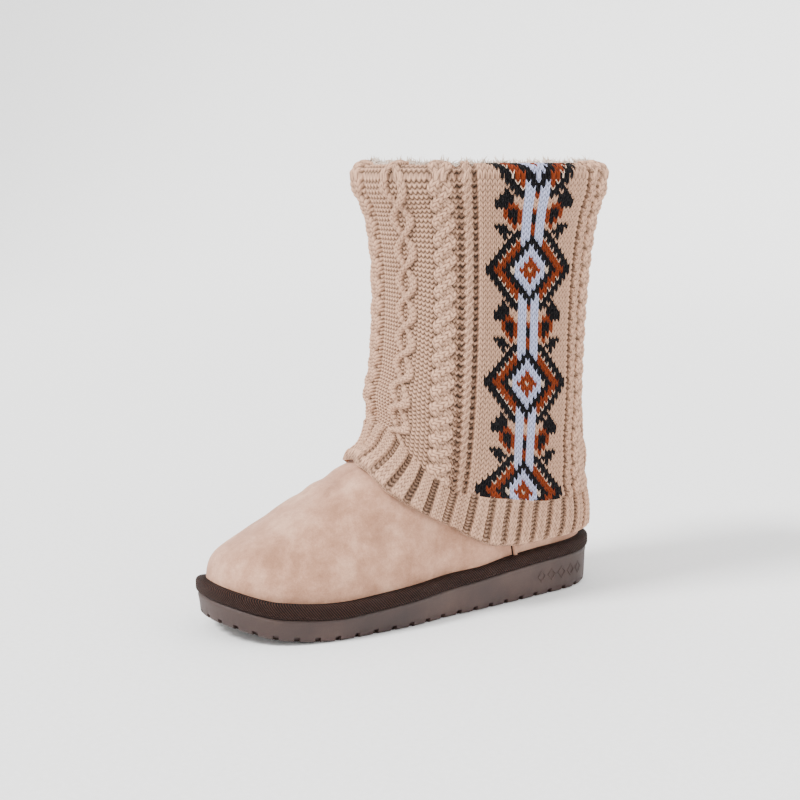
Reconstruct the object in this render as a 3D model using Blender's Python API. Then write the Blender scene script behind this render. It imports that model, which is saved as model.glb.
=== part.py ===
"""A left pull-on winter boot: a suede foot on a wrapped platform sole, with a knitted leg folded over the collar.

The toe points along -Y, the outer side of the foot is +X and the floor is Z = 0. The origin is on the floor
under the middle of the heel. Lengths are in metres. "Along" is the distance from the heel's back edge.
"""
import math
from bisect import bisect_right
from collections import namedtuple

import bmesh
import bpy
from mathutils import Vector

# The sole
SOLE_LENGTH = 0.268
BALL_WIDTH = 0.1017
HEEL_CENTRE = 0.036
HEEL_THICKNESS = 0.0232
FOREFOOT_THICKNESS = 0.0131
TOE_SPRING = 0.0100
HEEL_ROUND = 0.0425
TOE_ROUND = 0.074
ROUND_POWER = 2.25
SIDE_DRAFT = 0.0012
LOWER_EDGE = 0.0016

# The notches round its lower edge
NOTCH_PITCH = 0.0125
NOTCH_WIDTH = 0.0030
NOTCH_HEIGHT = 0.0032
NOTCH_REACH = 0.0045

# The cross bars of its tread, in a panel under the forefoot and one under the heel
BAR_PITCH = 0.0125
GROOVE_WIDTH = 0.0030
GROOVE_DEPTH = 0.0020
TREAD_MARGIN = 0.0110
HEEL_GROOVES = 4
FOREFOOT_START = 0.130
FOREFOOT_GROOVES = 9

# The wrapped midsole
MIDSOLE_THICKNESS = 0.0085
TAPE_PROUD = 0.0012
TAPE_CORNER = 0.0024

# The upper
UPPER_WALL = 0.0028
FEATHER_INSET = 0.0045
DOME_HEIGHT = 0.112
DOME_SIDE_POWER = 2.5
DOME_TOP_POWER = 2.3
SIDE_BULGE = 0.0022
BULGE_HEIGHT = 0.030
COLLAR_HEIGHT = 0.267
SHAFT_CENTRE = 0.072
SHAFT_FRONT = 0.066
SHAFT_BACK = 0.066
SHAFT_SIDE = 0.050
SHAFT_POWER = 2.25
INSTEP_FILLET = 0.040
SIDE_FILLET = 0.004
LEVEL_START = 0.46
CENTRE_SHIFT_HEIGHT = 0.055
LONGEST_RAY = 0.17
RAY_STEP = 0.0085

# The knitted leg
KNIT_WALL = 0.0050
KNIT_RELIEF = 0.0016
RIB_COUNT = 36
TURN_DOWN = 0.020
TURN_WALL = 0.0032
FOLD_RISE = 0.0055

# The footbed
INSOLE_THICKNESS = 0.0050

# What pieces keep between them, and how finely curves are faceted
GAP = 0.0003
INSOLE_GAP = 0.0006
KNIT_GAP = 0.0008
STATIONS = 32
COLUMNS = 72
COLUMNS_PER_RIB = 2

SolePlan = namedtuple("SolePlan", "along centre half")
SOLE_PLAN = [
    SolePlan(0.00, 0.000, 0.340),
    SolePlan(0.15, 0.004, 0.360),
    SolePlan(0.30, 0.030, 0.375),
    SolePlan(0.45, 0.061, 0.371),
    SolePlan(0.58, 0.045, 0.430),
    SolePlan(0.70, 0.001, 0.476),
    SolePlan(0.80, -0.028, 0.500),
    SolePlan(0.90, -0.036, 0.500),
    SolePlan(1.00, -0.069, 0.500),
]

SoleSide = namedtuple("SoleSide", "along lift wedge")
SOLE_SIDE = [
    SoleSide(0.00, 0.00, 1.00),
    SoleSide(0.18, 0.00, 0.93),
    SoleSide(0.45, 0.00, 0.48),
    SoleSide(0.66, 0.00, 0.12),
    SoleSide(0.76, 0.00, 0.00),
    SoleSide(0.90, 0.30, 0.00),
    SoleSide(1.00, 1.00, 0.00),
]

# The foot dome's ridge, from the heel's feather edge to the toe's, as shares of the dome height
Ridge = namedtuple("Ridge", "along height")
DOME_RIDGE = [
    Ridge(0.000, 0.00),
    Ridge(0.012, 0.40),
    Ridge(0.040, 0.95),
    Ridge(0.200, 1.25),
    Ridge(0.380, 1.20),
    Ridge(0.470, 1.13),
    Ridge(0.560, 0.720),
    Ridge(0.650, 0.615),
    Ridge(0.780, 0.455),
    Ridge(0.880, 0.318),
    Ridge(0.940, 0.236),
    Ridge(0.975, 0.160),
    Ridge(1.000, 0.00),
]

# The shaft's radii from the platform up to the collar, as shares of the sizes above
ShaftRow = namedtuple("ShaftRow", "height front back side")
SHAFT_ROWS = [
    ShaftRow(0.00, 0.50, 0.90, 0.60),
    ShaftRow(0.22, 0.65, 0.93, 0.77),
    ShaftRow(0.45, 0.99, 0.88, 0.93),
    ShaftRow(0.75, 1.07, 0.92, 0.99),
    ShaftRow(0.90, 1.12, 0.96, 1.04),
    ShaftRow(1.00, 1.23, 1.04, 1.13),
]

# The levels above the footbed that the upper is skinned on, as shares of the way from the platform to the collar
UPPER_LEVELS = [
    0.045, 0.075, 0.105, 0.135, 0.165, 0.20, 0.24, 0.285,
    0.33, 0.38, 0.45, 0.56, 0.68, 0.80, 0.91, 1.0,
]

# The hem's height by how far round it is from the front to the back, as shares of the collar height
HemRow = namedtuple("HemRow", "turn height")
HEM_ROWS = [
    HemRow(0.00, 0.350),
    HemRow(0.06, 0.336),
    HemRow(0.12, 0.290),
    HemRow(0.18, 0.232),
    HemRow(0.25, 0.184),
    HemRow(0.35, 0.150),
    HemRow(0.50, 0.138),
    HemRow(1.00, 0.138),
]

# The leg's rows from the hem up to the fold: the shares of the clearance, the wall and the ribs' relief there
KnitRow = namedtuple("KnitRow", "rise gap wall rib")
KNIT_ROWS = [
    KnitRow(0.000, 3.2, 0.60, 0.20),
    KnitRow(0.015, 3.0, 1.00, 1.00),
    KnitRow(0.060, 3.0, 1.00, 1.00),
    KnitRow(0.110, 2.6, 0.95, 1.00),
    KnitRow(0.145, 2.2, 0.88, 0.00),
    KnitRow(0.250, 1.6, 0.88, 0.00),
    KnitRow(0.360, 1.5, 0.90, 0.00),
    KnitRow(0.480, 1.2, 0.95, 0.00),
    KnitRow(0.640, 1.0, 1.00, 0.00),
    KnitRow(0.800, 1.0, 1.15, 0.00),
    KnitRow(0.910, 1.0, 1.40, 0.00),
    KnitRow(0.965, 1.0, 1.60, 0.00),
    KnitRow(1.000, 1.0, 1.40, 0.00),
]


def column(table, name, share):
    """A table's named column at this share of its first column, along a curve that never overshoots a row."""
    at = [row[0] for row in table]
    value = [getattr(row, name) for row in table]
    share = min(max(share, at[0]), at[-1])
    slope = [(b - a) / (q - p) for a, b, p, q in zip(value, value[1:], at, at[1:])]
    lean = [slope[0]]
    for a, b in zip(slope, slope[1:]):
        lean.append(0.0 if a * b <= 0 else 2 * a * b / (a + b))
    lean.append(slope[-1])
    i = min(bisect_right(at, share) - 1, len(slope) - 1)
    step = at[i + 1] - at[i]
    t = (share - at[i]) / step
    return (
        value[i] * (1 + 2 * t) * (1 - t) ** 2
        + lean[i] * step * t * (1 - t) ** 2
        + value[i + 1] * (3 - 2 * t) * t * t
        + lean[i + 1] * step * t * t * (t - 1)
    )


def smooth_step(share):
    share = min(max(share, 0.0), 1.0)
    return share * share * (3 - 2 * share)


def end_round(distance, length):
    """How much of its width an outline has this near its end."""
    if distance >= length:
        return 1.0
    return (1 - (1 - max(distance, 0.0) / length) ** ROUND_POWER) ** (1 / ROUND_POWER)


def sole_half(along):
    """The outsole's middle and half width."""
    share = along / SOLE_LENGTH
    rounding = end_round(along, HEEL_ROUND) * end_round(SOLE_LENGTH - along, TOE_ROUND)
    return (
        column(SOLE_PLAN, "centre", share) * BALL_WIDTH,
        column(SOLE_PLAN, "half", share) * BALL_WIDTH * rounding,
    )


def outline(outset):
    """The sole's outline moved out by this much, as (x, along) from the heel's tip along the outer side to the
    toe's tip and back along the inner side."""
    outer = []
    inner = []
    for j in range(STATIONS + 1):
        along = SOLE_LENGTH * (1 - math.cos(math.pi * j / STATIONS)) / 2
        centre, half = sole_half(along)
        outer.append(Vector((centre + half, along)))
        inner.append(Vector((centre - half, along)))
    points = outer + inner[-2:0:-1]
    moved = []
    for i, point in enumerate(points):
        tangent = points[(i + 1) % len(points)] - points[i - 1]
        normal = Vector((tangent.y, -tangent.x)).normalized()
        moved.append(point + normal * outset)
    return moved


def floor_lift(along):
    """The underside's height above the floor."""
    return TOE_SPRING * column(SOLE_SIDE, "lift", along / SOLE_LENGTH)


def sole_top(along):
    wedge = column(SOLE_SIDE, "wedge", along / SOLE_LENGTH)
    return floor_lift(along) + FOREFOOT_THICKNESS + wedge * (HEEL_THICKNESS - FOREFOOT_THICKNESS)


def platform_top(along):
    return sole_top(along) + GAP + MIDSOLE_THICKNESS


def place(x, along, height):
    return Vector((x, HEEL_CENTRE - along, height))


def material(name, colour, roughness):
    made = bpy.data.materials.new(name)
    made.use_nodes = True
    shader = made.node_tree.nodes["Principled BSDF"]
    shader.inputs["Base Color"].default_value = (*colour, 1)
    shader.inputs["Roughness"].default_value = roughness
    return made


def add_piece(name, shape, finish):
    """Makes a shape the object of this name, with its faces pointing out."""
    bmesh.ops.recalc_face_normals(shape, faces=shape.faces)
    mesh = bpy.data.meshes.new(name)
    shape.to_mesh(mesh)
    shape.free()
    mesh.materials.append(finish)
    mesh.shade_smooth()
    mesh.set_sharp_from_angle(angle=math.radians(40))
    piece = bpy.data.objects.new(name, mesh)
    bpy.context.collection.objects.link(piece)
    return piece


def loft(rings, last_joins_first=False):
    """Skins rings of points and gives the shape with its rows of vertices."""
    shape = bmesh.new()
    rows = [[shape.verts.new(point) for point in ring] for ring in rings]
    pairs = list(zip(rows, rows[1:]))
    if last_joins_first:
        pairs.append((rows[-1], rows[0]))
    for low, high in pairs:
        for i in range(len(low)):
            k = (i + 1) % len(low)
            shape.faces.new((low[i], low[k], high[k], high[i]))
    return shape, rows


def close_plate(shape, ring):
    """Closes a sole-shaped ring with strips that run straight across it."""
    middle = len(ring) // 2
    shape.faces.new((ring[0], ring[1], ring[-1]))
    for j in range(1, middle - 1):
        shape.faces.new((ring[j], ring[j + 1], ring[-j - 1], ring[-j]))
    shape.faces.new((ring[middle - 1], ring[middle], ring[middle + 1]))


def plate(levels):
    """A plate with the sole's outline. Each level is how far out it reaches and its height by where it is."""
    rings = [[place(p.x, p.y, height(p.y)) for p in outline(outset)] for outset, height in levels]
    shape, rows = loft(rings)
    close_plate(shape, rows[0])
    close_plate(shape, rows[-1])
    return shape


def cut(piece, name, shape):
    """Cuts a shape out of a piece."""
    cutter = add_piece(name, shape, piece.data.materials[0])
    cutter.hide_render = True
    cutter.display_type = "WIRE"
    modifier = piece.modifiers.new(name, "BOOLEAN")
    modifier.operation = "DIFFERENCE"
    modifier.object = cutter


def add_block(shape, start, end, width, low, high):
    """Adds a box that runs from one floor point to another between two heights."""
    along = (end - start).normalized()
    side = Vector((-along.y, along.x)) * width / 2
    corners = [start - side, end - side, end + side, start + side]
    low_ring = [shape.verts.new((c.x, c.y, low)) for c in corners]
    high_ring = [shape.verts.new((c.x, c.y, high)) for c in corners]
    shape.faces.new(low_ring[::-1])
    shape.faces.new(high_ring)
    for i in range(4):
        k = (i + 1) % 4
        shape.faces.new((low_ring[i], low_ring[k], high_ring[k], high_ring[i]))


def notch_places():
    """The notches' middles on the outline, with the way out of the sole there."""
    points = outline(0.0)
    points.append(points[0])
    lengths = [(b - a).length for a, b in zip(points, points[1:])]
    count = round(sum(lengths) / NOTCH_PITCH)
    pitch = sum(lengths) / count
    found = []
    walked = 0.0
    target = pitch / 2
    for a, b, length in zip(points, points[1:], lengths):
        while walked + length >= target and len(found) < count:
            tangent = (b - a).normalized()
            found.append((a.lerp(b, (target - walked) / length), Vector((tangent.y, -tangent.x))))
            target += pitch
        walked += length
    return found


def cross_grooves():
    """The grooves between the tread's cross bars, which follow the underside's height."""
    shape = bmesh.new()
    first = HEEL_CENTRE - BAR_PITCH * (HEEL_GROOVES - 1) / 2
    places = [first + BAR_PITCH * i for i in range(HEEL_GROOVES)]
    places += [FOREFOOT_START + BAR_PITCH * i for i in range(FOREFOOT_GROOVES)]
    for along in places:
        centre, half = sole_half(along)
        reach = half - TREAD_MARGIN
        start = Vector((centre - reach, HEEL_CENTRE - along))
        end = Vector((centre + reach, HEEL_CENTRE - along))
        lift = floor_lift(along)
        add_block(shape, start, end, GROOVE_WIDTH, lift - GROOVE_DEPTH, lift + GROOVE_DEPTH)
    return shape


def outsole():
    rubber = material("rubber", (0.105, 0.078, 0.070), 0.62)
    levels = [
        (-SIDE_DRAFT - LOWER_EDGE, floor_lift),
        (-SIDE_DRAFT, lambda along: floor_lift(along) + LOWER_EDGE),
        (0.0, lambda along: sole_top(along) - LOWER_EDGE),
        (-LOWER_EDGE / 2, sole_top),
    ]
    piece = add_piece("outsole", plate(levels), rubber)
    notches = bmesh.new()
    for middle, outward in notch_places():
        lift = floor_lift(middle.y)
        centre = Vector((middle.x, HEEL_CENTRE - middle.y))
        way = Vector((outward.x, -outward.y)) * NOTCH_REACH
        add_block(notches, centre - way, centre + way, NOTCH_WIDTH, lift - NOTCH_HEIGHT, lift + NOTCH_HEIGHT)
    cut(piece, "notch_cutter", notches)
    cut(piece, "groove_cutter", cross_grooves())


def midsole():
    grosgrain = material("grosgrain", (0.052, 0.031, 0.027), 0.85)

    def low(rise):
        return lambda along: sole_top(along) + GAP + rise

    levels = [
        (TAPE_PROUD - TAPE_CORNER, low(0.0)),
        (TAPE_PROUD - TAPE_CORNER * 0.3, low(TAPE_CORNER * 0.3)),
        (TAPE_PROUD, low(TAPE_CORNER)),
        (TAPE_PROUD, low(MIDSOLE_THICKNESS - TAPE_CORNER)),
        (TAPE_PROUD - TAPE_CORNER * 0.3, low(MIDSOLE_THICKNESS - TAPE_CORNER * 0.3)),
        (TAPE_PROUD - TAPE_CORNER, low(MIDSOLE_THICKNESS)),
    ]
    add_piece("midsole", plate(levels), grosgrain)


def foot_distance(x, along, height):
    """About how far this point is outside the foot's dome."""
    heel = along - FEATHER_INSET
    toe = SOLE_LENGTH - FEATHER_INSET - along
    if heel <= 0 or toe <= 0:
        return SOLE_LENGTH
    rise = max(height - platform_top(along), 0.0)
    ridge = DOME_HEIGHT * column(DOME_RIDGE, "height", heel / (SOLE_LENGTH - 2 * FEATHER_INSET))
    share = along / SOLE_LENGTH
    bulge = SIDE_BULGE * math.sin(math.pi * min(rise / BULGE_HEIGHT, 1.0))
    half = column(SOLE_PLAN, "half", share) * BALL_WIDTH - FEATHER_INSET + bulge
    half *= end_round(heel, HEEL_ROUND) * end_round(toe, TOE_ROUND)
    centre = column(SOLE_PLAN, "centre", share) * BALL_WIDTH
    reach = (abs(x - centre) / half) ** DOME_SIDE_POWER + (rise / ridge) ** DOME_TOP_POWER
    return (reach ** (1 / DOME_SIDE_POWER) - 1) * min(half, ridge)


def shaft_distance(x, along, height):
    """About how far this point is outside the shaft."""
    base = platform_top(SHAFT_CENTRE)
    share = (height - base) / (COLLAR_HEIGHT - base)
    ahead = along - SHAFT_CENTRE
    if ahead > 0:
        reach = column(SHAFT_ROWS, "front", share) * SHAFT_FRONT
    else:
        reach = column(SHAFT_ROWS, "back", share) * SHAFT_BACK
    side = column(SHAFT_ROWS, "side", share) * SHAFT_SIDE
    ratio = (abs(ahead) / reach) ** SHAFT_POWER + (abs(x) / side) ** SHAFT_POWER
    return (ratio ** (1 / SHAFT_POWER) - 1) * min(reach, side)


def skin_distance(x, along, height):
    """About how far this point is outside the upper: the dome and the shaft with a fillet between them."""
    foot = foot_distance(x, along, height)
    shaft = shaft_distance(x, along, height)
    ahead = smooth_step((along - SHAFT_CENTRE) / SHAFT_FRONT * 1.6)
    fillet = SIDE_FILLET + (INSTEP_FILLET - SIDE_FILLET) * ahead
    near = max(fillet - abs(foot - shaft), 0.0) / fillet
    return min(foot, shaft) - near * near * fillet / 4


def skin_at(angle, centre_x, centre_along, height_at):
    """The upper's outermost face in this direction from a middle. Angle 0 is the toe's and a quarter turn the
    outer side's."""

    def point(radius):
        along = centre_along + math.cos(angle) * radius
        return centre_x + math.sin(angle) * radius, along, height_at(along)

    near = LONGEST_RAY
    while near > RAY_STEP and skin_distance(*point(near)) > 0:
        near -= RAY_STEP
    far = near + RAY_STEP
    for _ in range(14):
        middle = (near + far) / 2
        if skin_distance(*point(middle)) > 0:
            far = middle
        else:
            near = middle
    return place(*point(near))


def upper_ring(share, count):
    """The outer face's points on one level. Levels follow the platform near it and are flat above the instep."""
    base = platform_top(SHAFT_CENTRE)
    rise = share * (COLLAR_HEIGHT - base)
    flat = smooth_step(rise / DOME_HEIGHT)
    shift = smooth_step(rise / CENTRE_SHIFT_HEIGHT)
    start = LEVEL_START * SOLE_LENGTH
    centre_x = sole_half(start)[0] * (1 - shift)
    centre_along = start * (1 - shift) + SHAFT_CENTRE * shift

    def height_at(along):
        return rise + base * flat + (platform_top(along) + GAP) * (1 - flat)

    return [skin_at(math.tau * i / count, centre_x, centre_along, height_at) for i in range(count)]


def moved_in(rings, depth):
    """Rings moved in along the surface's own normal. The end rings stay at their own heights."""
    result = []
    for r, ring in enumerate(rings):
        low = rings[max(r - 1, 0)]
        high = rings[min(r + 1, len(rings) - 1)]
        moved = []
        for i, point in enumerate(ring):
            k = (i + 1) % len(ring)
            normal = (ring[k] - ring[i - 1]).cross(high[i] - low[i])
            if r in (0, len(rings) - 1):
                normal.z = 0.0
            moved.append(point - normal.normalized() * depth)
        result.append(moved)
    return result


def upper_rings():
    """The upper's outer face from its feather edge and the footbed's top up to the collar."""
    footbed = INSOLE_THICKNESS / (COLLAR_HEIGHT - platform_top(SHAFT_CENTRE))
    return [upper_ring(share, COLUMNS) for share in [0.0, footbed] + UPPER_LEVELS]


def upper():
    suede = material("suede", (0.61, 0.44, 0.36), 0.9)
    outer = upper_rings()
    inner = moved_in(outer, UPPER_WALL)
    shape, _ = loft(outer + inner[::-1], last_joins_first=True)
    add_piece("upper", shape, suede)


def insole():
    """The footbed follows the inside of the upper's two lowest levels."""
    fleece = material("fleece", (0.62, 0.52, 0.44), 0.95)
    shape, rows = loft(moved_in(upper_rings(), UPPER_WALL + INSOLE_GAP)[:2])
    close_plate(shape, rows[0])
    close_plate(shape, rows[1])
    add_piece("insole", shape, fleece)


def shaft_ring(angles, height_for):
    """The upper's outer face round the shaft, at a height for each angle."""
    ring = []
    for angle in angles:
        height = height_for(angle)
        ring.append(skin_at(angle, 0.0, SHAFT_CENTRE, lambda along: height))
    return ring


def hem_height(angle):
    return column(HEM_ROWS, "height", 1 - abs(angle / math.pi - 1)) * COLLAR_HEIGHT


def knit_faces(skin):
    """The leg's inner and outer faces over the upper's. The outer one has a valley between ribs near the hem."""
    inner = []
    outer = []
    for r, row in enumerate(KNIT_ROWS):
        gap = KNIT_GAP * row.gap
        wall = KNIT_WALL * row.wall
        crest = moved_in(skin, -gap - wall)[r]
        valley = moved_in(skin, -gap - wall + KNIT_RELIEF * row.rib)[r]
        inner.append(moved_in(skin, -gap)[r])
        outer.append([valley[i] if i % COLUMNS_PER_RIB == 0 else crest[i] for i in range(len(crest))])
    return inner, outer


def knit_leg():
    """The sleeve's section runs up its outer face, over the upper's collar and down inside it, and back."""
    wool = material("wool", (0.62, 0.47, 0.37), 0.95)
    count = RIB_COUNT * COLUMNS_PER_RIB
    angles = [math.tau * i / count for i in range(count)]

    def raised(share):
        return lambda angle: hem_height(angle) + (COLLAR_HEIGHT - hem_height(angle)) * share

    skin = [shaft_ring(angles, raised(row.rise)) for row in KNIT_ROWS]
    inner, outer = knit_faces(skin)
    turned = [shaft_ring(angles, lambda angle: COLLAR_HEIGHT - TURN_DOWN), skin[-1]]
    inside = moved_in(turned, UPPER_WALL + KNIT_GAP)
    back = moved_in(turned, UPPER_WALL + KNIT_GAP + TURN_WALL)

    def arch(share, rise):
        return [a.lerp(b, share) + Vector((0, 0, rise)) for a, b in zip(outer[-1], back[1])]

    top = FOLD_RISE + KNIT_GAP
    gap = Vector((0, 0, KNIT_GAP))
    rings = outer + [arch(0.15, top * 0.75), arch(0.45, top), arch(0.8, top * 0.8)]
    rings += [back[1], back[0], inside[0], inside[1]]
    rings += [[p + gap for p in inside[1]], [p + gap for p in inner[-1]]]
    shape, _ = loft(rings + inner[::-1], last_joins_first=True)
    add_piece("knit_leg", shape, wool)


for existing in list(bpy.data.objects):
    bpy.data.objects.remove(existing)
outsole()
midsole()
upper()
insole()
knit_leg()
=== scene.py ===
"""A left pull-on winter boot: a suede foot on a wrapped wedge sole, with a knitted leg folded over the collar.

Lengths are in metres. The toe points along -Y, the outer side is +X, and the floor is Z = 0. "Along" is the
distance from the heel's back edge. The pieces follow one another as the boot is put together.
"""

import math

import bpy
import numpy as np
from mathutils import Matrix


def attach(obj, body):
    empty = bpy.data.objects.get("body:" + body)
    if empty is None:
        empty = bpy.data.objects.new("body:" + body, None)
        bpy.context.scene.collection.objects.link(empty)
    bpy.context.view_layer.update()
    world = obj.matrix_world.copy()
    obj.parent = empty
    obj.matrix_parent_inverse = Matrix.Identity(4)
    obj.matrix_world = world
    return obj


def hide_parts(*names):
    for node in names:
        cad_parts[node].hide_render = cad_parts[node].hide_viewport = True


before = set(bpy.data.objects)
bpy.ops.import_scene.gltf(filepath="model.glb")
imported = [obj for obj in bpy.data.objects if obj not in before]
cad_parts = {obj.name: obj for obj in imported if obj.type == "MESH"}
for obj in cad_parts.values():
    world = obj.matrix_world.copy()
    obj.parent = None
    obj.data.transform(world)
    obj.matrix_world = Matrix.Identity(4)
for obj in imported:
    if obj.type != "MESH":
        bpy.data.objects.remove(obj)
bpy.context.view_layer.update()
bpy.ops.object.select_all(action="DESELECT")

# ----------------------------------------------------------------------
# Outsole: one moulding of foamed rubber, a wedge that thins from the heel to the ball and springs up at the toe.
# Its lower edge is notched all round, and cross bars stand under the forefoot and the heel.
SOLE_LENGTH = 0.268
BALL_WIDTH = 0.1017
HEEL_CENTRE = 0.036
HEEL_THICKNESS = 0.0232
FOREFOOT_THICKNESS = 0.0131
TOE_SPRING = 0.0100
HEEL_ROUND = 0.0425
TOE_ROUND = 0.074
ROUND_POWER = 2.25
NOTCH_PITCH = 0.0125
NOTCH_WIDTH = 0.0030
NOTCH_HEIGHT = 0.0030
NOTCH_REACH = 0.0036
BAR_PITCH = 0.0125
GROOVE_WIDTH = 0.0030
GROOVE_DEPTH = 0.0020
TREAD_MARGIN = 0.0110

# Along the sole, as shares of its length: its middle and half width as shares of the ball width
SOLE_PLAN = np.array([
    (0.00, 0.000, 0.340), (0.15, 0.004, 0.360), (0.30, 0.030, 0.375), (0.45, 0.061, 0.371), (0.58, 0.045, 0.430),
    (0.70, 0.001, 0.476), (0.80, -0.028, 0.500), (0.90, -0.036, 0.500), (1.00, -0.069, 0.500),
])
# Along the sole: the toe spring's share and the wedge's share
SOLE_SIDE = np.array([
    (0.00, 0.00, 1.00), (0.18, 0.00, 0.93), (0.45, 0.00, 0.48), (0.66, 0.00, 0.12), (0.76, 0.00, 0.00),
    (0.90, 0.30, 0.00), (1.00, 1.00, 0.00),
])


def column(table, k, share):
    """Column k of a table at shares of its first column, on a curve that never overshoots a row."""
    at, value = table[:, 0], table[:, k]
    share = np.clip(share, at[0], at[-1])
    slope = np.diff(value) / np.diff(at)
    lean = [0.0 if a * b <= 0 else 2 * a * b / (a + b) for a, b in zip(slope, slope[1:])]
    lean = np.array([slope[0], *lean, slope[-1]])
    i = np.clip(np.searchsorted(at, share, side="right") - 1, 0, len(slope) - 1)
    step = at[i + 1] - at[i]
    t = (share - at[i]) / step
    rise = value[i] * (1 + 2 * t) * (1 - t) ** 2 + value[i + 1] * (3 - 2 * t) * t * t
    return rise + lean[i] * step * t * (1 - t) ** 2 + lean[i + 1] * step * t * t * (t - 1)


def end_round(distance, length):
    """How much of its width an outline has this near its end."""
    left = 1 - np.clip(distance, 0, length) / length
    return (1 - left ** ROUND_POWER) ** (1 / ROUND_POWER)


def sole_half(along):
    share = along / SOLE_LENGTH
    rounding = end_round(along, HEEL_ROUND) * end_round(SOLE_LENGTH - along, TOE_ROUND)
    return column(SOLE_PLAN, 1, share) * BALL_WIDTH, column(SOLE_PLAN, 2, share) * BALL_WIDTH * rounding


def floor_lift(along):
    return TOE_SPRING * column(SOLE_SIDE, 1, along / SOLE_LENGTH)


def sole_top(along):
    wedge = column(SOLE_SIDE, 2, along / SOLE_LENGTH)
    return floor_lift(along) + FOREFOOT_THICKNESS + wedge * (HEEL_THICKNESS - FOREFOOT_THICKNESS)


def edge_line(places):
    """Points (x, along) of the sole's outline and their way out, at these lengths along it from the heel's tip
    round the outer side. Places are shares of the whole outline."""
    along = SOLE_LENGTH * (1 - np.cos(np.pi * np.arange(401) / 400)) / 2
    centre, half = sole_half(along)
    x = np.concatenate([centre + half, (centre - half)[-2::-1]])
    line = np.stack([x, np.concatenate([along, along[-2::-1]])], 1)
    walked = np.concatenate([[0], np.cumsum(np.linalg.norm(np.diff(line, axis=0), axis=1))])
    at = np.asarray(places) * walked[-1]
    points = np.stack([np.interp(at, walked, line[:, i]) for i in (0, 1)], 1)
    tangent = np.roll(points, -1, 0) - np.roll(points, 1, 0)
    out = np.stack([tangent[:, 1], -tangent[:, 0]], 1)
    return points, out / np.linalg.norm(out, axis=1)[:, None], walked[-1]


def at_height(points, height):
    """Points (x, along) of the sole's plan, stood at these heights."""
    return np.column_stack([points[:, 0], HEEL_CENTRE - points[:, 1], 0 * points[:, 0] + height])


def piece_from(name, points, faces, finish, sharp=40):
    """A mesh object from points and quads or triangles, smooth but for edges sharper than this many degrees."""
    mesh = bpy.data.meshes.new(name)
    faces = [np.asarray(f) for f in faces]
    loops = np.concatenate([f.ravel() for f in faces]).astype(np.int32)
    sizes = np.concatenate([np.full(len(f), f.shape[1]) for f in faces])
    mesh.vertices.add(len(points))
    mesh.vertices.foreach_set("co", np.asarray(points, np.float32).ravel())
    mesh.loops.add(len(loops))
    mesh.loops.foreach_set("vertex_index", loops)
    mesh.polygons.add(len(sizes))
    mesh.polygons.foreach_set("loop_start", np.concatenate([[0], np.cumsum(sizes)[:-1]]).astype(np.int32))
    mesh.update(calc_edges=True)
    mesh.shade_smooth()
    mesh.set_sharp_from_angle(angle=math.radians(sharp))
    mesh.materials.append(finish)
    piece = bpy.data.objects.new(name, mesh)
    bpy.context.collection.objects.link(piece)
    return piece


def ring_faces(count, rows, closed=False):
    """Quads that skin rows of points, each row a ring of this count. Rows rise, and rings run anticlockwise."""
    i = np.arange(count)
    k = (i + 1) % count
    low = np.arange(rows if closed else rows - 1)[:, None] * count
    high = (low + count) % (rows * count)
    return np.stack([low + i, low + k, high + k, high + i], -1).reshape(-1, 4)


def plate_faces(count, start, flip):
    """Strips that run straight across a sole-shaped ring, to close it."""
    ring = start + np.arange(count)
    middle = count // 2
    j = np.arange(1, middle - 1)
    strips = np.stack([ring[j], ring[j + 1], ring[-j - 1], ring[-j]], 1)
    ends = np.array([(ring[0], ring[1], ring[-1]), (ring[middle - 1], ring[middle], ring[middle + 1])])
    return [strips[:, ::-1], ends[:, ::-1]] if flip else [strips, ends]


def linear(hex_colour):
    """An sRGB hex colour as linear values."""
    parts = [int(hex_colour[i:i + 2], 16) / 255 for i in (1, 3, 5)]
    return (*[p / 12.92 if p <= 0.04045 else ((p + 0.055) / 1.055) ** 2.4 for p in parts], 1)


def add_node(tree, kind, settings=None, **inputs):
    """Adds a shader node with its settings. An input's underscores stand for spaces, and a socket is linked."""
    made = tree.nodes.new("ShaderNode" + kind)
    for name, value in (settings or {}).items():
        setattr(made, name, value)
    for name, value in inputs.items():
        socket = made.inputs[int(name[1:]) if name[1:].isdigit() else name.replace("_", " ")]
        if isinstance(value, bpy.types.NodeSocket):
            tree.links.new(value, socket)
        else:
            socket.default_value = value
    return made


def new_finish(name):
    """A material, with its node tree, its shader and the object's own coordinates."""
    made = bpy.data.materials.new(name)
    made.use_nodes = True
    tree = made.node_tree
    return made, tree, tree.nodes["Principled BSDF"], add_node(tree, "TexCoord").outputs["Object"]


def dress(shader, colour, bump=None, **values):
    """Links a colour and a bump to the shader, and sets its other values. Underscores stand for spaces."""
    tree = shader.id_data
    tree.links.new(colour, shader.inputs["Base Color"])
    if bump:
        tree.links.new(bump.outputs[0], shader.inputs["Normal"])
    for name, value in values.items():
        shader.inputs[name.replace("_", " ")].default_value = value


def ramp_stops(node, stops):
    """Gives a colour ramp these (place, colour) stops."""
    ramp = node.color_ramp
    while len(ramp.elements) > 1:
        ramp.elements.remove(ramp.elements[-1])
    ramp.elements[0].position, ramp.elements[0].color = stops[0]
    for place, colour in stops[1:]:
        ramp.elements.new(place).color = colour
    return node.outputs["Color"]


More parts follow.
